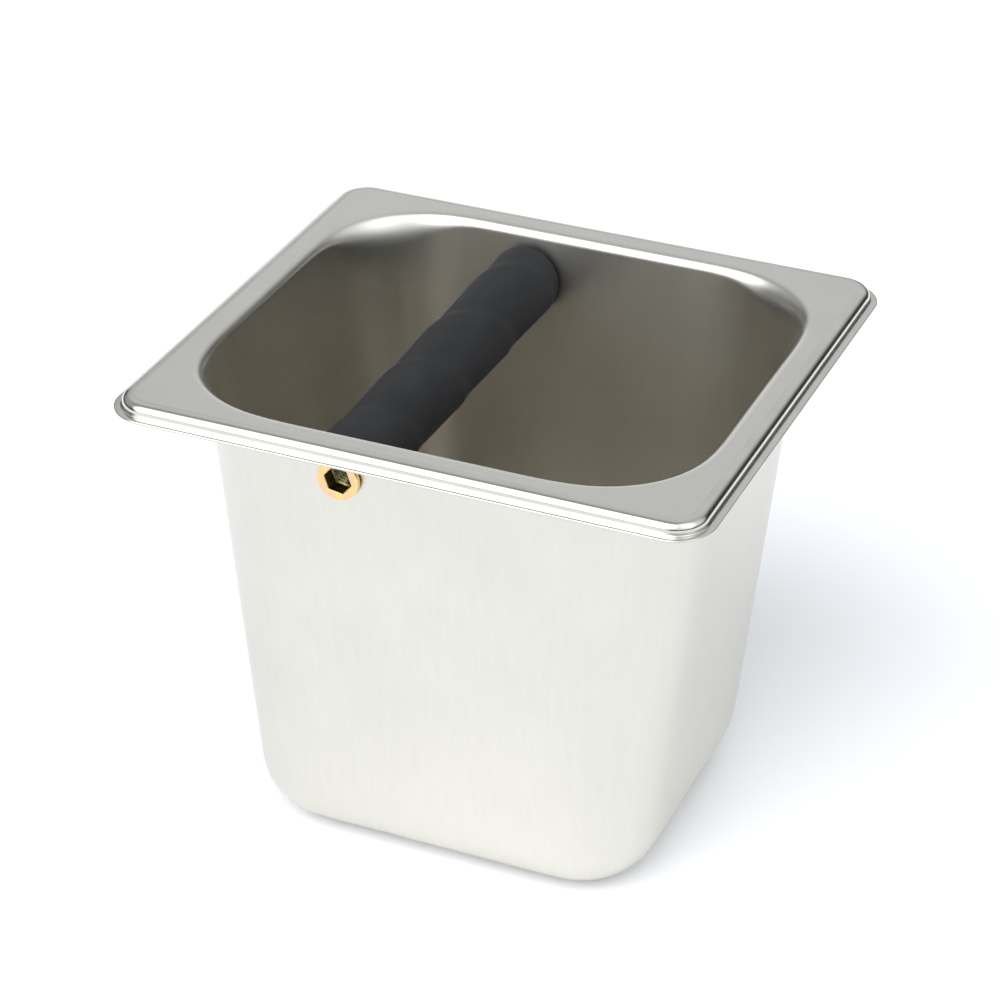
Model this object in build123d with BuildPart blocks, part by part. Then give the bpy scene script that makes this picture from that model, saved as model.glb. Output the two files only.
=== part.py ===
from build123d import *

import math
import os

# Espresso knock box: a deep-drawn stainless pan of the one-sixth gastronorm size with a
# rubber-sleeved knock bar across its mouth.
# Frame: +Z up, +X along the longer side, origin at the centre of the underside. Millimetres.

# ---------------------------------------------------------------- driving dimensions
rim_width = 176.0                # one-sixth gastronorm, along X
rim_depth = 162.0                # one-sixth gastronorm, along Y
pan_height = 150.0               # 150 mm deep pan, underside to rim top
sheet = 0.8                      # stainless sheet
rim_corner = 12.0                # plan radius of the lip's corners
rim_drop = 4.4                   # rim top down to the lip's underside
lip_overhang = 2.2               # how far the lip stands out from the rim's side
shoulder = 3.0                   # rounding from the rim top into the rim's side
lip_root = 0.5                   # hollow between the rim's side and the lip
lip_edge = 0.3                   # rounded sheet edge of the lip
flange_flat = 4.6                # flat width between the shoulder and the mouth's rounding
mouth_round = 3.2                # rounding from the rim top into the walls
wall_draft = 5.7                 # degrees from vertical
mouth_corner = 38.0              # plan radius of the outer wall's corners at the rim top
floor_round = 19.5               # outer rounding between the walls and the floor

bar_x = -20.9                    # bar axis, off centre so that a portafilter clears it
bar_z = 135.0
sleeve_radius = 11.2
sleeve_length = 131.2
sleeve_end_round = 1.2
core_radius = 8.5
core_length = 131.4
core_chamfer = 0.5
fit_gap = 0.02                   # radial gap between pieces pushed into each other

insert_radius = 5.3              # over the coarse outer thread
insert_length = 15.0             # from the flange to the inner end
insert_chamfer = 0.8
thread_bore = 3.32               # inside the crests of an M8 thread
flange_radius = 6.2
flange_thick = 1.4
flange_round = 0.35
key_across_flats = 7.2           # hexagon socket for the driving key
key_depth = 4.5
key_turn = -10.0                 # degrees that the sockets happen to have stopped at
hole_gap = 0.08                  # radial play of the inserts in the wall holes
wall_gap = 0.1                   # between an insert's flange and the sloping wall, where nearest
pilot_spare = 1.0                # the core's end holes go this much deeper than the inserts
flat_slack = 0.01                # for picking a flat face by its height

# ---------------------------------------------------------------- derived sizes
draft_rate = math.tan(math.radians(wall_draft))
sheet_level = sheet / math.cos(math.radians(wall_draft))
flange_underside = pan_height - sheet
lip_bottom = pan_height - rim_drop
side_width = rim_width - 2 * lip_overhang
side_depth = rim_depth - 2 * lip_overhang
side_corner = rim_corner - lip_overhang
flat_inset = lip_overhang + shoulder + flange_flat
mouth_tangent = mouth_round * math.tan(math.radians(90 - wall_draft) / 2)
top_width = rim_width - 2 * (flat_inset + mouth_tangent - sheet_level)
top_depth = rim_depth - 2 * (flat_inset + mouth_tangent - sheet_level)
flange_seat = top_depth / 2 - (pan_height - bar_z - flange_radius) * draft_rate + wall_gap
insert_tip = flange_seat - insert_length


def plan(width, depth, corner, inset):
    """A rounded rectangle, drawn in by inset on every side."""
    RectangleRounded(width - 2 * inset, depth - 2 * inset, corner - inset)


def hole_edges(part, level):
    """The edges around the hole in the flat face at this height."""
    flats = part.faces().filter_by(Plane.XY)
    face = flats.filter_by_position(Axis.Z, level - flat_slack, level + flat_slack)[0]
    return face.inner_wires()[0].edges()


os.makedirs("parts", exist_ok=True)

# ---------------------------------------------------------------- pan
# the hollow under the rim
with BuildPart() as rim_hollow:
    with BuildSketch(Plane.XY.offset(lip_bottom)):
        plan(side_width, side_depth, side_corner, sheet)
    extrude(amount=rim_drop - sheet)
    fillet(rim_hollow.faces().sort_by(Axis.Z)[-1].edges(), shoulder - sheet)

# the space inside the walls
with BuildPart() as cavity:
    with BuildSketch(Plane.XY.offset(pan_height)):
        plan(top_width, top_depth, mouth_corner, sheet_level)
    extrude(amount=sheet - pan_height, taper=wall_draft)
    fillet(cavity.faces().sort_by(Axis.Z)[0].edges(), floor_round - sheet)

with BuildPart() as pan:
    # the rim: a shallow upturned tray whose edge flares out into a lip
    with BuildSketch(Plane.XY.offset(lip_bottom)):
        plan(rim_width, rim_depth, rim_corner, 0)
    extrude(amount=sheet)
    fillet(pan.edges().filter_by(Axis.Z, reverse=True), lip_edge)
    with BuildSketch(Plane.XY.offset(lip_bottom)):
        plan(side_width, side_depth, side_corner, 0)
    extrude(amount=rim_drop)
    fillet(pan.edges(Select.NEW), lip_root)
    fillet(pan.faces().sort_by(Axis.Z)[-1].edges(), shoulder)
    add(rim_hollow.part, mode=Mode.SUBTRACT)
    fillet(hole_edges(pan, lip_bottom), lip_root + sheet)

    # the drawn body, tapering down to a floor with a large rounding
    with BuildSketch(Plane.XY.offset(flange_underside)):
        plan(top_width, top_depth, mouth_corner, sheet * draft_rate)
    extrude(amount=-flange_underside, taper=wall_draft)
    fillet(hole_edges(pan, flange_underside), mouth_round - sheet)
    fillet(pan.faces().sort_by(Axis.Z)[0].edges(), floor_round)
    add(cavity.part, mode=Mode.SUBTRACT)
    fillet(hole_edges(pan, pan_height), mouth_round)

    # one hole in the front wall and one in the rear wall for the bar's inserts
    with BuildSketch(Plane.XZ.offset(-rim_depth / 2)):
        with Locations((bar_x, bar_z)):
            Circle(insert_radius + hole_gap)
    extrude(amount=rim_depth, mode=Mode.SUBTRACT)
pan.part.label = "pan"
export_step(pan.part, "parts/pan.step")


# ---------------------------------------------------------------- knock bar
def bar_plane(y):
    """A plane across the bar at this y, facing the front, centred on the bar's axis."""
    return Plane(origin=(bar_x, y, bar_z), x_dir=(1, 0, 0), z_dir=(0, -1, 0))


with BuildPart() as bar_core:
    with BuildSketch(bar_plane(core_length / 2)):
        Circle(core_radius)
    extrude(amount=core_length)
    chamfer(bar_core.edges().filter_by(GeomType.CIRCLE), core_chamfer)
    # a pilot hole in each end
    pilot_depth = core_length / 2 - insert_tip + pilot_spare
    for end in (-1, 1):
        with BuildSketch(bar_plane(end * core_length / 2)):
            Circle(insert_radius + fit_gap)
        extrude(amount=end * pilot_depth, mode=Mode.SUBTRACT)
bar_core.part.label = "bar_core"
export_step(bar_core.part, "parts/bar_core.step")

with BuildPart() as rubber_sleeve:
    with BuildSketch(bar_plane(sleeve_length / 2)):
        Circle(sleeve_radius)
        Circle(core_radius + fit_gap, mode=Mode.SUBTRACT)
    extrude(amount=sleeve_length)
    outer_ends = rubber_sleeve.edges().filter_by(GeomType.CIRCLE).group_by(SortBy.RADIUS)[-1]
    fillet(outer_ends, sleeve_end_round)
rubber_sleeve.part.label = "rubber_sleeve"
export_step(rubber_sleeve.part, "parts/rubber_sleeve.step")


def insert(end, label):
    """A flanged threaded insert in the bar's front end (-1) or rear end (1)."""
    face = flange_seat + flange_thick
    with BuildPart() as nut:
        with BuildSketch(bar_plane(end * face)):
            Circle(flange_radius)
        extrude(amount=end * flange_thick)
        fillet(nut.faces().sort_by(Axis.Y)[0 if end < 0 else -1].edges(), flange_round)
        with BuildSketch(bar_plane(end * flange_seat)):
            Circle(insert_radius)
        extrude(amount=end * insert_length)
        chamfer(nut.faces().sort_by(Axis.Y)[-1 if end < 0 else 0].edges(), insert_chamfer)
        with BuildSketch(bar_plane(end * face)):
            RegularPolygon(key_across_flats / 2, 6, major_radius=False, rotation=key_turn)
        extrude(amount=end * key_depth, mode=Mode.SUBTRACT)
        with BuildSketch(bar_plane(end * face)):
            Circle(thread_bore)
        extrude(amount=end * (flange_thick + insert_length), mode=Mode.SUBTRACT)
    nut.part.label = label
    export_step(nut.part, f"parts/{label}.step")


insert(-1, "front_insert")
insert(1, "rear_insert")
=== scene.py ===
import math
from functools import lru_cache

import bmesh
import bpy
from mathutils import Matrix, Vector, noise


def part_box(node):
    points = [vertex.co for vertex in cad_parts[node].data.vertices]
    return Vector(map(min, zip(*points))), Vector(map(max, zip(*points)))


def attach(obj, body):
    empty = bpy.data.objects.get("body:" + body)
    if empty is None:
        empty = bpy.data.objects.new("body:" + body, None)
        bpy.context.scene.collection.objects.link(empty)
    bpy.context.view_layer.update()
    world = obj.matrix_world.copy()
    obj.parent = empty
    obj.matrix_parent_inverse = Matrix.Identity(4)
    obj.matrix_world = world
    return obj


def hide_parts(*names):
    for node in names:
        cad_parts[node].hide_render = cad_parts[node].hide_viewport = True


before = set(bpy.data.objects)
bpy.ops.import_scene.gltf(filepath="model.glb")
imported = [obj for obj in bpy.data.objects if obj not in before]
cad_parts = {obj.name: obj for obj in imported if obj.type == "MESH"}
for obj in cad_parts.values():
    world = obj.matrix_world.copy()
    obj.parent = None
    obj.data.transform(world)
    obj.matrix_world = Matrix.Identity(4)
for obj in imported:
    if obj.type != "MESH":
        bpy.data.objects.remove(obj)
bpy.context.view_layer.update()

MM = 0.001
QUARTER = math.pi / 2

# ---------------------------------------------------------------- pan, in metres
pan_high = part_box("pan")[1]
RIM_X = pan_high.x                       # half widths over the lip
RIM_Y = pan_high.y
TOP = pan_high.z
SHEET = 0.8 * MM
RIM_CORNER = 12.0 * MM
RIM_DROP = 4.4 * MM
LIP = 2.2 * MM                           # the lip stands out this far from the rim's side
SHOULDER = 2.7 * MM                      # 0.3 less than in CAD, as its softer bend is longer
ROOT = 0.5 * MM                          # hollow above the lip
LIP_EDGE = 0.3 * MM
FLAT = 4.9 * MM                          # 0.3 more, so that the walls stay in place
MOUTH = 3.2 * MM                         # rounding from the flange into the walls
FLARE_DOWN = 2.6                         # in the corners it reaches this much further down
FLARE_BACK = 0.3                         # and this much further out on the flange
DRAFT = math.radians(5.7)
BODY_CORNER = 38.0 * MM
FLOOR_ROUND = 19.5 * MM
HOLE = 5.38 * MM                         # radius of the holes for the inserts

WALL_LINE = -SHEET / math.cos(DRAFT)     # outwards, from the outer wall's line to the inner one's
BODY_INSET = LIP + SHOULDER + FLAT + MOUTH * math.tan((QUARTER - DRAFT) / 2) + WALL_LINE
BODY_X = RIM_X - BODY_INSET              # half widths of the outer wall's line at the rim's top
BODY_Y = RIM_Y - BODY_INSET

EASE = (0.2, 0.2)                        # shares of a bend that ease its curvature in, and out
RIM_EASE = (0.34, 0.16)                  # the same for the bends that leave the flange
BEND_FINE = 16                           # steps of adding up between two points of a bend
FLOOR_MARGIN = 0.95                      # a ring just inside the floor keeps its shading even
SHOULDER_FADE = 0.3 * MM                 # the polished finish of the edge, with its painted shade, runs on over the flange
CORNER_STEPS = 24
SIDE_STEPS = 12
WALL_STEPS = 12
MOUTH_STEPS = 20
SHOULDER_STEPS = 16
HEEL_STEPS = 24
ROOT_STEPS = 8
ROOT_UNDER_STEPS = 6
LIP_EDGE_STEPS = 3
HOLE_STEPS = 64
SHARP = 40.0                             # edges that turn more than this, in degrees, stay crisp

# ---------------------------------------------------------------- knock bar, in metres
sleeve_low, sleeve_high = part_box("rubber_sleeve")
core_low, core_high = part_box("bar_core")
BAR = (sleeve_low + sleeve_high) / 2
SLEEVE_RADIUS = (sleeve_high.x - sleeve_low.x) / 2
SLEEVE_HALF = (sleeve_high.y - sleeve_low.y) / 2
SLEEVE_BORE = (core_high.x - core_low.x) / 2 + 0.02 * MM
SLEEVE_END = 1.2 * MM                    # rounding of the sleeve's ends
SLEEVE_STEPS = 96
SLEEVE_ROWS = 240
END_ROWS = 5
WRAP_PITCH = 33.0 * MM                   # length along the bar of one turn of the rubber
WRAP_START = -2.0 * MM
WRAP_SWELL = 0.55 * MM
WRAP_FALL = 0.22                         # share of the pitch in which a turn steps down
WRAP_WANDER = 0.06                       # turns that the steps wander by
LUMP = 0.15 * MM
LUMP_AROUND = 1.3                        # radius, in the noise, of the way round the bar
LUMP_ALONG = 60                          # and how far a metre along the bar goes in it

SHANK = 5.3 * MM                         # inserts: radius over the coarse thread
WOOD_THREAD = 0.6 * MM
WOOD_PITCH = 2.5 * MM
FLANGE = 1.4 * MM
FLANGE_EDGE = 0.35 * MM
KEY_FLATS = 7.2 * MM
KEY_DEPTH = 4.5 * MM
KEY_CHAMFER = 0.2 * MM
KEY_TURN = math.radians(-10)
SCREW_CREST = 3.32 * MM                  # M8 thread, 1.25 mm pitch
SCREW_ROOT = 4.0 * MM
SCREW_PITCH = 1.25 * MM
THREAD_ROW = SCREW_PITCH / 8             # between two rings of a thread
THREAD_CREST = 1.25                      # over 1 gives a thread a flat crest
INSERT_STEPS = 72
FLANGE_EDGE_STEPS = 4
END_SHADE_LENGTH = 4.0 * MM                         # the core's ends are darkened over this length as painted shade


# ---------------------------------------------------------------- mesh helpers
def new_object(name, mesh):
    piece = bpy.data.objects.new(name, mesh)
    bpy.context.scene.collection.objects.link(piece)
    return piece


def skin_rings(rings, ends="caps"):
    """A bmesh skinned over rings of equal length, with the faces of each band. Its ends are
    closed by caps, or the last ring joins the first in a loop."""
    bm = bmesh.new()
    rows = [[bm.verts.new(p) for p in ring] for ring in rings]
    if ends == "loop":
        rows.append(rows[0])
    bands = []
    for low, high in zip(rows, rows[1:]):
        band = []
        for i in range(len(low)):
            j = (i + 1) % len(low)
            band.append(bm.faces.new((low[i], low[j], high[j], high[i])))
        bands.append(band)
    if ends == "caps":
        bm.faces.new(reversed(rows[0]))
        bands.append([bm.faces.new(rows[-1])])
    return bm, bands


def finish_mesh(bm, name):
    bmesh.ops.recalc_face_normals(bm, faces=bm.faces)
    mesh = bpy.data.meshes.new(name)
    bm.to_mesh(mesh)
    bm.free()
    for polygon in mesh.polygons:
        polygon.use_smooth = True
    mesh.set_sharp_from_angle(angle=math.radians(SHARP))
    return mesh


def turned(share, lead, trail):
    """How far a bend has turned at a share of its length. Its curvature ramps up over the
    share lead, holds, and ramps down over the share trail."""
    area = 1 - (lead + trail) / 2
    if share < lead:
        return share ** 2 / (2 * lead * area)
    if share > 1 - trail:
        return 1 - (1 - share) ** 2 / (2 * trail * area)
    return (share - lead / 2) / area


def soft_bend(angle, radius, steps, ease=EASE):
    """A bend that takes up its curvature gradually, as drawn sheet does, and cuts its corner
    as far as a round of this radius would. Gives places relative to the corner, along the
    first line and across it, with how far each has turned."""
    x = y = 0.0
    path = [(x, y, 0.0)]
    for k in range(steps * BEND_FINE):
        theta = angle * turned((k + 0.5) / (steps * BEND_FINE), *ease)
        x += math.cos(theta)
        y += math.sin(theta)
        path.append((x, y, angle * turned((k + 1) / (steps * BEND_FINE), *ease)))
    corner = x - y / math.tan(angle)
    cut = min(math.hypot(px - corner, py) for px, py, theta in path)
    scale = radius * (1 / math.cos(angle / 2) - 1) / cut
    return [((px - corner) * scale, py * scale, theta) for px, py, theta in path[::BEND_FINE]]


def outline(half_x, half_y, bend):
    """Points round a rectangle whose corners have this bend: place, direction outwards, and
    how deep in a corner each lies, from 0 on the sides to 1 halfway round the corner."""
    rows = []
    for turn, (sx, sy) in enumerate(((1, 1), (-1, 1), (-1, -1), (1, -1))):
        q = turn * QUARTER
        along = Vector((-math.sin(q), math.cos(q), 0))
        across = Vector((-math.cos(q), -math.sin(q), 0))
        row = []
        for x, y, theta in bend:
            place = Vector((sx * half_x, sy * half_y, 0)) + along * x + across * y
            outwards = Vector((math.cos(q + theta), math.sin(q + theta), 0))
            row.append((place, outwards, round(math.sin(2 * theta) ** 2, 6)))
        rows.append(row)
    points = []
    for row, following in zip(rows, rows[1:] + rows[:1]):
        points.extend(row)
        for step in range(1, SIDE_STEPS):
            place = row[-1][0].lerp(following[0][0], step / SIDE_STEPS)
            points.append((place, row[-1][1], 0.0))
    return points


# ---------------------------------------------------------------- material helpers
class Nodes:
    """Short hand for building one node tree."""

    def __init__(self, tree):
        self.tree = tree
        self.tree.nodes.clear()

    def node(self, kind, **settings):
        made = self.tree.nodes.new(kind)
        for key, value in settings.items():
            setattr(made, key, value)
        return made

    def feed(self, node, socket, value):
        """Sets an input to a number or colour, or links another node's output to it."""
        if isinstance(value, bpy.types.NodeSocket):
            self.tree.links.new(value, node.inputs[socket])
        else:
            node.inputs[socket].default_value = value

    def math(self, operation, *values):
        made = self.node("ShaderNodeMath", operation=operation)
        for index, value in enumerate(values):
            self.feed(made, index, value)
        return made.outputs[0]

    def dot(self, vector, other):
        made = self.node("ShaderNodeVectorMath", operation="DOT_PRODUCT")
        self.feed(made, 0, vector)
        self.feed(made, 1, other)
        return made.outputs["Value"]

    def mix(self, factor, a, b):
        made = self.node("ShaderNodeMix", data_type="RGBA")
        self.feed(made, 0, factor)
        self.feed(made, 6, a)
        self.feed(made, 7, b)
        return made.outputs[2]

    def place(self, scale=(1, 1, 1)):
        """Object coordinates, in metres, stretched."""
        mapping = self.node("ShaderNodeMapping")
        self.feed(mapping, "Vector", self.node("ShaderNodeTexCoord").outputs["Object"])
        self.feed(mapping, "Scale", scale)
        return mapping.outputs[0]

    def noise(self, vector, scale, detail=2.0, roughness=0.5):
        made = self.node("ShaderNodeTexNoise")
        self.feed(made, "Vector", vector)
        self.feed(made, "Scale", scale)
        self.feed(made, "Detail", detail)
        self.feed(made, "Roughness", roughness)
        return made.outputs[0]

    def ramp(self, value, low, high, to_low=0.0, to_high=1.0, curve="LINEAR"):
        made = self.node("ShaderNodeMapRange", clamp=True, interpolation_type=curve)
        for index, number in enumerate((value, low, high, to_low, to_high)):
            self.feed(made, index, number)
        return made.outputs[0]

    def bump(self, height, strength, distance, normal=None):
        made = self.node("ShaderNodeBump")
        self.feed(made, "Height", height)
        self.feed(made, "Strength", strength)
        self.feed(made, "Distance", distance)
        if normal is not None:
            self.feed(made, "Normal", normal)
        return made.outputs[0]


def new_material(name):
    material = bpy.data.materials.new(name)
    material.use_nodes = True
    return material, Nodes(material.node_tree)


def finish_material(material, n, **inputs):
    """Ends a material in one Principled shader with these inputs."""
    shader = n.node("ShaderNodeBsdfPrincipled")
    for socket, value in inputs.items():
        n.feed(shader, socket.replace("_", " "), value)
    output = n.node("ShaderNodeOutputMaterial")
    n.feed(output, "Surface", shader.outputs[0])
    return material


# ---------------------------------------------------------------- materials
STEEL = (0.66, 0.637, 0.585)
SATIN = 0.30                             # roughness
UPRIGHT_GRAIN = (500, 500, 30)           # streaks per metre along X, Y and Z
FLANGE_GRAIN = (700, 60, 700)
RUBBER = (0.011, 0.011, 0.0118, 1)
RUBBER_DUST = (0.020, 0.020, 0.0212, 1)
ZINC_YELLOW = (0.86, 0.62, 0.20, 1)
ZINC_PINK = (0.83, 0.50, 0.36, 1)
ZINC_GREEN = (0.70, 0.72, 0.34, 1)
# zinc darkened as painted shade, for the shanks and the insides of the inserts
SHADE_ZINC_DARK = (0.10, 0.085, 0.03, 1)
SHADE_ZINC_LIGHT = (0.26, 0.23, 0.11, 1)
BEECH_DARK = (0.52, 0.34, 0.19, 1)
BEECH_LIGHT = (0.66, 0.47, 0.29, 1)
BEECH_FLECK = (0.33, 0.19, 0.10, 1)
# near-black, for the painted shade at the core's ends
END_SHADE_COLOUR = (0.022, 0.018, 0.015, 1)


def shade(colour, factor):
    return tuple(c * factor for c in colour) + (1,)


def satin_steel(name, roughness, grain):
    """Stainless sheet with a satin face: fine streaks stretched by grain, and soft clouds."""
    material, n = new_material(name)
    streaks = n.noise(n.place(scale=grain), 1.0, detail=4.0, roughness=0.65)
    clouds = n.noise(n.place(), 40.0, detail=3.0)
    fine = n.noise(n.place(), 2600.0)
    tone = n.math("ADD", n.math("MULTIPLY", streaks, 0.5), n.math("MULTIPLY", clouds, 0.5))
    height = n.math("ADD", n.math("MULTIPLY", streaks, 0.6), n.math("MULTIPLY", fine, 0.4))
    return finish_material(
        material, n, Metallic=1.0,
        Base_Color=n.mix(n.ramp(tone, 0.35, 0.65), shade(STEEL, 0.975), shade(STEEL, 1.025)),
        Roughness=n.ramp(tone, 0.3, 0.7, roughness - 0.02, roughness + 0.02),
        Normal=n.bump(height, 0.04, 0.00005, n.bump(clouds, 0.04, 0.0003)))


def polished_shaded_steel(name):
    """The rim's edge, rubbed bright: smoother than the satin sheet, its colour a little darker as
    painted shade.
    """
    material, n = new_material(name)
    clouds = n.noise(n.place(), 90.0, detail=3.0)
    return finish_material(
        material, n, Metallic=1.0,
        # a little darker than the satin steel's colour: painted shade on the rim's side and lip
        Base_Color=n.mix(n.ramp(clouds, 0.3, 0.7), shade(STEEL, 0.90), shade(STEEL, 1.0)),
        Roughness=n.ramp(clouds, 0.3, 0.7, 0.10, 0.15),
        Normal=n.bump(clouds, 0.05, 0.0001))


def black_rubber(name):
    """Matte rubber with a dusty bloom, small pits and rub marks."""
    material, n = new_material(name)
    bloom = n.noise(n.place(scale=(1, 0.5, 1)), 90.0, detail=4.0, roughness=0.6)
    pits = n.noise(n.place(), 1500.0, detail=3.0)
    return finish_material(
        material, n, Specular_IOR_Level=0.3,
        Base_Color=n.mix(n.ramp(bloom, 0.35, 0.7), RUBBER, RUBBER_DUST),
        Roughness=n.ramp(bloom, 0.3, 0.7, 0.62, 0.78),
        Normal=n.bump(pits, 0.25, 0.00012, n.bump(bloom, 0.2, 0.0006)))


def yellow_zinc(name):
    """Passivated zinc: yellow that drifts to pink and green."""
    material, n = new_material(name)
    drift = n.noise(n.place(), 260.0, detail=3.0)
    patch = n.noise(n.place(scale=(1, 0.6, 1)), 420.0)
    grit = n.noise(n.place(), 3000.0)
    warm = n.mix(n.ramp(drift, 0.38, 0.62), ZINC_YELLOW, ZINC_PINK)
    return finish_material(
        material, n, Metallic=1.0,
        Base_Color=n.mix(n.ramp(patch, 0.55, 0.75, 0.0, 0.6), warm, ZINC_GREEN),
        Roughness=n.ramp(drift, 0.3, 0.7, 0.22, 0.36),
        Normal=n.bump(grit, 0.15, 0.00005))


def painted_shade_zinc(name):
    """The shanks and insides of the inserts: zinc darkened as painted shade in the socket and
    thread.
    """
    material, n = new_material(name)
    drift = n.noise(n.place(), 600.0, detail=3.0)
    return finish_material(
        material, n, Metallic=1.0,
        Base_Color=n.mix(n.ramp(drift, 0.35, 0.65), SHADE_ZINC_DARK, SHADE_ZINC_LIGHT),
        Roughness=n.ramp(drift, 0.3, 0.7, 0.25, 0.4))


def beech_wood(name):
    """Turned beech: long grain along the bar, short darker flecks, and ends darkened as painted
    shade.
    """
    material, n = new_material(name)
    grain = n.noise(n.place(scale=(900, 25, 900)), 1.0, detail=4.0)
    flecks = n.noise(n.place(scale=(1800, 260, 1800)), 1.0)
    colour = n.mix(n.ramp(grain, 0.35, 0.65), BEECH_DARK, BEECH_LIGHT)
    colour = n.mix(n.ramp(flecks, 0.62, 0.75, 0.0, 0.6), colour, BEECH_FLECK)
    from_middle = n.math("ABSOLUTE", n.dot(n.place(), (0, 1, 0)))
    end_shade = n.ramp(from_middle, core_high.y - END_SHADE_LENGTH, core_high.y - END_SHADE_LENGTH / 2)
    return finish_material(
        material, n,
        Base_Color=n.mix(end_shade, colour, END_SHADE_COLOUR),
        Roughness=n.ramp(grain, 0.3, 0.7, 0.55, 0.75),
        Normal=n.bump(grain, 0.3, 0.0002))


# ---------------------------------------------------------------- pan
MOUTH_BEND = soft_bend(QUARTER - DRAFT, MOUTH, MOUTH_STEPS, RIM_EASE)
HEEL_BEND = soft_bend(QUARTER - DRAFT, FLOOR_ROUND, HEEL_STEPS)


@lru_cache(maxsize=None)
def mouth_section(corner):
    """The upper skin of the mouth's bend and, level with it, the lower skin, both as places
    (out from the outer wall's line, height); corner is how deep in a corner it lies."""
    upper = []
    for x, y, theta in MOUTH_BEND:
        down = y / math.cos(DRAFT)
        back = down * math.sin(DRAFT) - x
        down *= 1 + FLARE_DOWN * corner
        back *= 1 + FLARE_BACK * corner
        out = WALL_LINE + back - down * math.sin(DRAFT)
        upper.append(Vector((out, TOP - down * math.cos(DRAFT))))
    lower = []
    for k, place in enumerate(upper):
        if k == 0:
            run = Vector((-1, 0))
        elif k == len(upper) - 1:
            run = Vector((-math.sin(DRAFT), -math.cos(DRAFT)))
        else:
            run = (upper[k + 1] - upper[k - 1]).normalized()
        lower.append(place + SHEET * Vector((-run.y, run.x)))
    return upper, lower


def pan_rings():
    """Rings of the sheet's skin from the middle of the underside, out over the lip and the rim,
    and down to the middle of the inside floor. Each has the finish of the band that follows it."""
    body_line = outline(BODY_X, BODY_Y, soft_bend(QUARTER, BODY_CORNER, CORNER_STEPS))
    round_corner = []
    for k in range(CORNER_STEPS + 1):
        a = QUARTER * k / CORNER_STEPS
        round_corner.append((-RIM_CORNER * (1 - math.sin(a)), RIM_CORNER * (1 - math.cos(a)), a))
    rim_line = outline(RIM_X, RIM_Y, round_corner)
    rings = []

    def body(section, finish):
        """section gives the place (out from the wall's line, height) at a corner depth."""
        ring = []
        for place, outwards, corner in body_line:
            out, z = section(corner)
            ring.append(place + outwards * out + Vector((0, 0, z)))
        rings.append((ring, finish))

    def floor(z, finish):
        ring = [Vector((p.x * FLOOR_MARGIN, p.y * FLOOR_MARGIN, z)) for p in rings[-1][0]]
        rings.append((ring, finish))

    def rim(inset, z):
        level = Vector((0, 0, z))
        ring = [place - outwards * inset + level for place, outwards, corner in rim_line]
        rings.append((ring, "edge"))

    def arc(middle, z, radius, start, end, steps):
        """A round stretch of the rim's section; angles run from straight out and turn up."""
        for step in range(steps + 1):
            a = start + (end - start) * step / steps
            rim(middle - radius * math.cos(a), z + radius * math.sin(a))

    heel_outer = []
    heel_inner = []
    for x, y, theta in HEEL_BEND:
        heel_outer.append(Vector((x - TOP * math.tan(DRAFT), y)))
        heel_inner.append(heel_outer[-1] + SHEET * Vector((-math.sin(theta), math.cos(theta))))
    shoulder = []
    for x, y, theta in soft_bend(QUARTER, SHOULDER, SHOULDER_STEPS, RIM_EASE):
        shoulder.append((LIP - x, TOP - y, theta))
    lip_low = TOP - RIM_DROP
    root_z = lip_low + SHEET + ROOT

    # underside, outer wall and the hollow bend up to the flange
    body(lambda corner: heel_outer[0], "body")
    floor(0, "body")
    rings.reverse()
    for place in heel_outer[1:]:
        body(lambda corner: place, "body")
    for step in range(1, WALL_STEPS):
        share = step / WALL_STEPS
        body(lambda corner: heel_outer[-1].lerp(mouth_section(corner)[1][-1], share), "body")
    for k in reversed(range(MOUTH_STEPS + 1)):
        body(lambda corner: mouth_section(corner)[1][k], "body")
    # under the shoulder, the root and the lip
    for inset, z, theta in shoulder:
        rim(inset + SHEET * math.sin(theta), z - SHEET * math.cos(theta))
    arc(LIP - ROOT, root_z, -(ROOT + SHEET), 0, QUARTER, ROOT_UNDER_STEPS)
    arc(LIP_EDGE, lip_low + LIP_EDGE, LIP_EDGE, -QUARTER, 0, LIP_EDGE_STEPS)
    arc(LIP_EDGE, lip_low + SHEET - LIP_EDGE, LIP_EDGE, 0, QUARTER, LIP_EDGE_STEPS)
    # the root, the shoulder, the flat flange and the mouth
    arc(LIP - ROOT, root_z, -ROOT, QUARTER, 0, ROOT_STEPS)
    for inset, z, theta in reversed(shoulder):
        rim(inset, z)
    rim(shoulder[0][0] + SHOULDER_FADE, TOP)
    rings[-1] = (rings[-1][0], "flange")
    for k in range(MOUTH_STEPS + 1):
        body(lambda corner: mouth_section(corner)[0][k], "inside" if k else "flange")
    # inside
    for step in range(1, WALL_STEPS):
        share = step / WALL_STEPS
        body(lambda corner: mouth_section(corner)[0][-1].lerp(heel_inner[-1], share), "inside")
    for place in reversed(heel_inner):
        body(lambda corner: place, "inside")
    floor(SHEET, "inside")
    return rings


def make_pan():
    finishes = {"body": satin_steel("steel_body", SATIN, UPRIGHT_GRAIN),
                "edge": polished_shaded_steel("steel_edge"),
                "flange": satin_steel("steel_flange", SATIN, FLANGE_GRAIN),
                "inside": satin_steel("steel_inside", SATIN, UPRIGHT_GRAIN)}
    order = list(finishes)
    rings = pan_rings()
    bm, bands = skin_rings([ring for ring, finish in rings])
    for band, (ring, finish) in zip(bands, rings):
        for face in band:
            face.material_index = order.index(finish)
    mesh = finish_mesh(bm, "stainless_pan")
    for finish in order:
        mesh.materials.append(finishes[finish])
    piece = new_object("stainless_pan", mesh)
    cut_holes(piece)
    return piece


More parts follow.
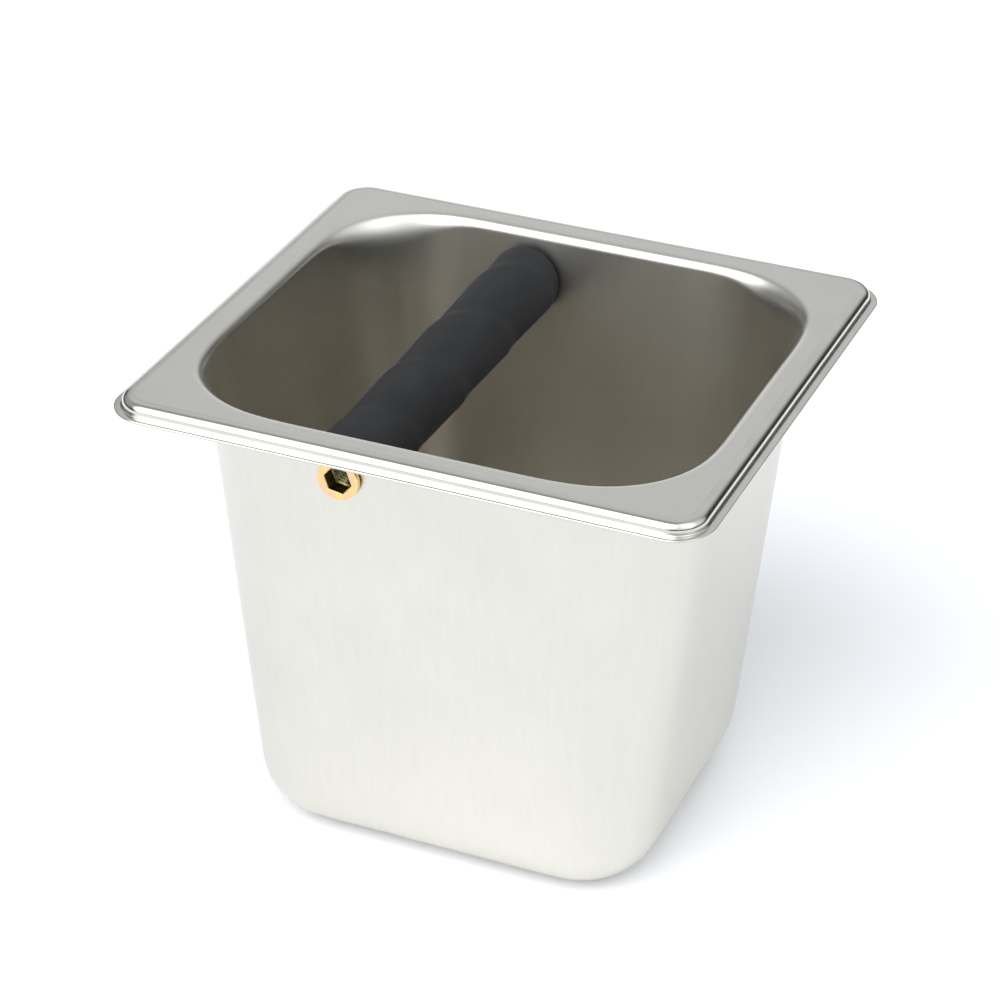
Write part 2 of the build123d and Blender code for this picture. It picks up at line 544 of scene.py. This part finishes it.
def cut_holes(piece):
    """The holes for the inserts, one in the front wall and one in the rear wall."""
    ends = [tube_ring(HOLE, y, HOLE_STEPS) for y in (-RIM_Y, RIM_Y)]
    drill = new_object("drill", finish_mesh(skin_rings(ends)[0], "drill"))
    cut = piece.modifiers.new("holes", "BOOLEAN")
    cut.operation = "DIFFERENCE"
    cut.solver = "EXACT"
    cut.object = drill
    bpy.context.view_layer.update()
    graph = bpy.context.evaluated_depsgraph_get()
    result = bpy.data.meshes.new_from_object(piece.evaluated_get(graph))
    result.set_sharp_from_angle(angle=math.radians(SHARP))
    piece.modifiers.remove(cut)
    piece.data = result
    bpy.data.objects.remove(drill)


# ---------------------------------------------------------------- knock bar
def tube_ring(radius, y, steps):
    """A ring round the bar's axis. radius may be a function of the angle from +X."""
    ring = []
    for step in range(steps):
        a = 2 * math.pi * step / steps
        r = radius(a) if callable(radius) else radius
        ring.append(Vector((BAR.x + r * math.cos(a), y, BAR.z + r * math.sin(a))))
    return ring


def sleeve_radius(y, a):
    """Long turns of rubber, each swelling towards its trailing edge and stepping down."""
    wander = WRAP_WANDER * noise.noise(Vector((math.cos(a), math.sin(a), y / WRAP_PITCH)))
    phase = ((y - WRAP_START) / WRAP_PITCH + a / (2 * math.pi) + wander) % 1.0
    if phase < 1 - WRAP_FALL:
        rise = phase / (1 - WRAP_FALL)
    else:
        rise = 0.5 + 0.5 * math.cos(math.pi * (phase - 1 + WRAP_FALL) / WRAP_FALL)
    around = Vector((math.cos(a) * LUMP_AROUND, y * LUMP_ALONG, math.sin(a) * LUMP_AROUND))
    lump = noise.noise(around)
    return SLEEVE_RADIUS - WRAP_SWELL * (1 - rise) - LUMP * (1 + lump) / 2


def make_sleeve():
    def ring(y):
        short = max(SLEEVE_END - SLEEVE_HALF + abs(y), 0)
        drop = SLEEVE_END - math.sqrt(max(SLEEVE_END ** 2 - short ** 2, 0))
        return tube_ring(lambda a: sleeve_radius(y, a) - drop, y, SLEEVE_STEPS)

    straight = SLEEVE_HALF - SLEEVE_END
    rows = [straight * (2 * k / SLEEVE_ROWS - 1) for k in range(SLEEVE_ROWS + 1)]
    for k in range(1, END_ROWS + 1):
        beyond = straight + SLEEVE_END * math.sin(QUARTER * k / END_ROWS)
        rows = [-beyond] + rows + [beyond]
    rings = [ring(y) for y in rows]
    rings.append(tube_ring(SLEEVE_BORE, rows[-1], SLEEVE_STEPS))
    rings.append(tube_ring(SLEEVE_BORE, rows[0], SLEEVE_STEPS))
    mesh = finish_mesh(skin_rings(rings, "loop")[0], "rubber_wrap")
    mesh.materials.append(black_rubber("rubber_black"))
    return new_object("rubber_wrap", mesh)


def hexagon(across_flats):
    """Radius of a hexagon's outline at an angle, with its points where the socket's are."""
    return lambda a: across_flats / 2 / math.cos((a - KEY_TURN) % (math.pi / 3) - math.pi / 6)


def thread(inner, outer, depth, pitch, end):
    """Radius of a thread's flanks at an angle, for the ring at this depth."""
    def radius(a):
        phase = (depth / pitch - end * a / (2 * math.pi)) % 1.0
        return inner + (outer - inner) * min(1.0, THREAD_CREST * (1 - abs(2 * phase - 1)))
    return radius


def make_insert(name, node, end, outside, inside):
    """A flanged sleeve nut: coarse thread outside, hexagon socket and M8 thread inside."""
    low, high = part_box(node)
    front = high.y if end > 0 else low.y
    length = high.y - low.y
    flange = (high.x - low.x) / 2
    rings = []

    def ring(radius, depth):
        rings.append(tube_ring(radius, front - end * depth, INSERT_STEPS))

    chamfer = 2 * FLANGE_EDGE
    ring(SHANK - chamfer, length)
    ring(SHANK, length - chamfer)
    for k in range(1, round((length - FLANGE - 2 * chamfer) / THREAD_ROW)):
        depth = length - chamfer - k * THREAD_ROW
        ring(thread(SHANK - WOOD_THREAD, SHANK, depth, WOOD_PITCH, end), depth)
    ring(SHANK, FLANGE + FLANGE_EDGE)
    ring(SHANK, FLANGE)
    flange_band = len(rings) - 1
    ring(flange, FLANGE)
    for k in range(FLANGE_EDGE_STEPS + 1):
        a = QUARTER * k / FLANGE_EDGE_STEPS
        ring(flange - FLANGE_EDGE * (1 - math.cos(a)), FLANGE_EDGE * (1 - math.sin(a)))
    ring(hexagon(KEY_FLATS + 2 * KEY_CHAMFER), 0)
    ring(hexagon(KEY_FLATS), KEY_CHAMFER)
    key_band = len(rings) - 1
    ring(hexagon(KEY_FLATS), KEY_DEPTH)
    ring(SCREW_CREST, KEY_DEPTH + KEY_CHAMFER)
    for k in range(1, round((length - KEY_DEPTH - 4 * KEY_CHAMFER) / THREAD_ROW)):
        depth = KEY_DEPTH + KEY_CHAMFER + k * THREAD_ROW
        ring(thread(SCREW_CREST, SCREW_ROOT, depth, SCREW_PITCH, end), depth)
    ring(SCREW_CREST, length - KEY_CHAMFER)
    ring(SCREW_ROOT, length)
    bm, bands = skin_rings(rings, "loop")
    # the shank, and the socket and thread inside, take the zinc darkened as painted shade
    for band in bands[:flange_band] + bands[key_band:]:
        for face in band:
            face.material_index = 1
    mesh = finish_mesh(bm, name)
    mesh.materials.append(outside)
    mesh.materials.append(inside)
    return new_object(name, mesh)


# ---------------------------------------------------------------- build
pan = make_pan()
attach(pan, "pan")
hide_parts("pan")

sleeve = make_sleeve()
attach(sleeve, "knock_bar")
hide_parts("rubber_sleeve")

zinc = yellow_zinc("zinc_yellow")
shaded_zinc_inside = painted_shade_zinc("zinc_painted_shade")
for name, node, end in (("front_sleeve_nut", "front_insert", -1),
                        ("rear_sleeve_nut", "rear_insert", 1)):
    nut = make_insert(name, node, end, zinc, shaded_zinc_inside)
    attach(nut, "knock_bar")
    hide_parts(node)

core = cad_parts["bar_core"]
core.data.materials.clear()
core.data.materials.append(beech_wood("beech"))


# ---------------------------------------------------------------- stage, light, camera
FLOOR_SIZE = 4.0
FLOOR_DROP = 0.2 * MM                    # keeps the floor clear of the underside
FLOOR_DARK = (0.92, 0.92, 0.92, 1)
FLOOR_LIGHT = (0.94, 0.94, 0.94, 1)
LIGHT = (0.965, 1.0, 1.04)
# soft boxes: azimuth, elevation, and how far from there the fade starts and ends, all in
# degrees, and the level
HIGH_BOXES = (
    (-110, 41, 8, 42, 4.0),              # in front
    (-45, 38, 10, 52, 1.2),              # in front on the right
    (5, 35, 8, 50, 0.95),                # on the right
    (100, 40, 2, 44, 0.72),              # behind
    (172, 32, 8, 44, 0.4),               # on the left
    (0, 90, 8, 38, 0.35),                # overhead
)
LOW_BOXES = (
    (118, 3, 4, 20, 1.0),                # behind on the left
    (-112, 2, 6, 34, 0.9),               # in front
)
GLOW = 0.06                              # from all round
HORIZON_FADE = 0.35                      # sine of the elevation where the high boxes are in full
# the camera, fitted to the rim, the walls and the base in the photo; angles in degrees
TARGET = Vector((-1.76 * MM, 0, 96.21 * MM))
DISTANCE = 963.35 * MM
CAMERA_TURN = 22.47                      # from the front towards the right
CAMERA_RISE = 30.35
CAMERA_ROLL = 0.76
SENSOR_WIDTH = 36.0
FOCAL_LENGTH = 118.37
GLOSSY_BOUNCES = 10


def make_floor():
    bm = bmesh.new()
    bmesh.ops.create_grid(bm, x_segments=2, y_segments=2, size=FLOOR_SIZE)
    floor = new_object("floor", finish_mesh(bm, "floor"))
    floor.location.z = -FLOOR_DROP
    material, n = new_material("pale_floor")
    tone = n.noise(n.place(), 3.0)
    floor.data.materials.append(finish_material(
        material, n, Roughness=0.9, Specular_IOR_Level=0.1,
        Base_Color=n.mix(tone, FLOOR_DARK, FLOOR_LIGHT)))


def direction(azimuth, elevation):
    """Unit vector; azimuth in degrees from +X towards +Y."""
    a, e = math.radians(azimuth), math.radians(elevation)
    return Vector((math.cos(a) * math.cos(e), math.sin(a) * math.cos(e), math.sin(e)))


def make_world():
    """Soft boxes all round, the strongest in front, on an even glow."""
    world = bpy.data.worlds.new("studio")
    world.use_nodes = True
    bpy.context.scene.world = world
    n = Nodes(world.node_tree)
    looking = n.node("ShaderNodeTexCoord").outputs["Generated"]

    def box(azimuth, elevation, inner, outer, level):
        """level within inner degrees of a direction, fading to 0 beyond outer degrees."""
        facing = n.dot(looking, direction(azimuth, elevation))
        return n.ramp(facing, math.cos(math.radians(outer)), math.cos(math.radians(inner)),
                      0.0, level, "SMOOTHSTEP")

    light = 0.0
    for placing in HIGH_BOXES:
        light = n.math("ADD", light, box(*placing))
    height = n.dot(looking, (0, 0, 1))
    risen = n.ramp(height, 0.0, HORIZON_FADE, curve="SMOOTHSTEP")
    light = n.math("MULTIPLY", light, risen)
    for placing in LOW_BOXES:
        light = n.math("ADD", light, box(*placing))
    light = n.math("ADD", light, GLOW)
    background = n.node("ShaderNodeBackground")
    n.feed(background, "Color", LIGHT + (1,))
    n.feed(background, "Strength", light)
    n.feed(n.node("ShaderNodeOutputWorld"), "Surface", background.outputs[0])


def make_camera():
    """Looks down at the front from the right."""
    roll = math.radians(CAMERA_ROLL)
    back = direction(CAMERA_TURN - 90, CAMERA_RISE)
    right = (-back).cross(Vector((0, 0, 1))).normalized()
    up = back.cross(right)
    right, up = (math.cos(roll) * right + math.sin(roll) * up,
                 math.cos(roll) * up - math.sin(roll) * right)
    data = bpy.data.cameras.new("camera")
    data.sensor_width = SENSOR_WIDTH
    data.lens = FOCAL_LENGTH
    camera = bpy.data.objects.new("camera", data)
    bpy.context.scene.collection.objects.link(camera)
    facing = Matrix((right, up, back)).transposed().to_4x4()
    camera.matrix_world = Matrix.Translation(TARGET + back * DISTANCE) @ facing
    bpy.context.scene.camera = camera


make_floor()
make_world()
make_camera()
bpy.context.scene.view_settings.view_transform = "Standard"
bpy.context.scene.cycles.glossy_bounces = GLOSSY_BOUNCES
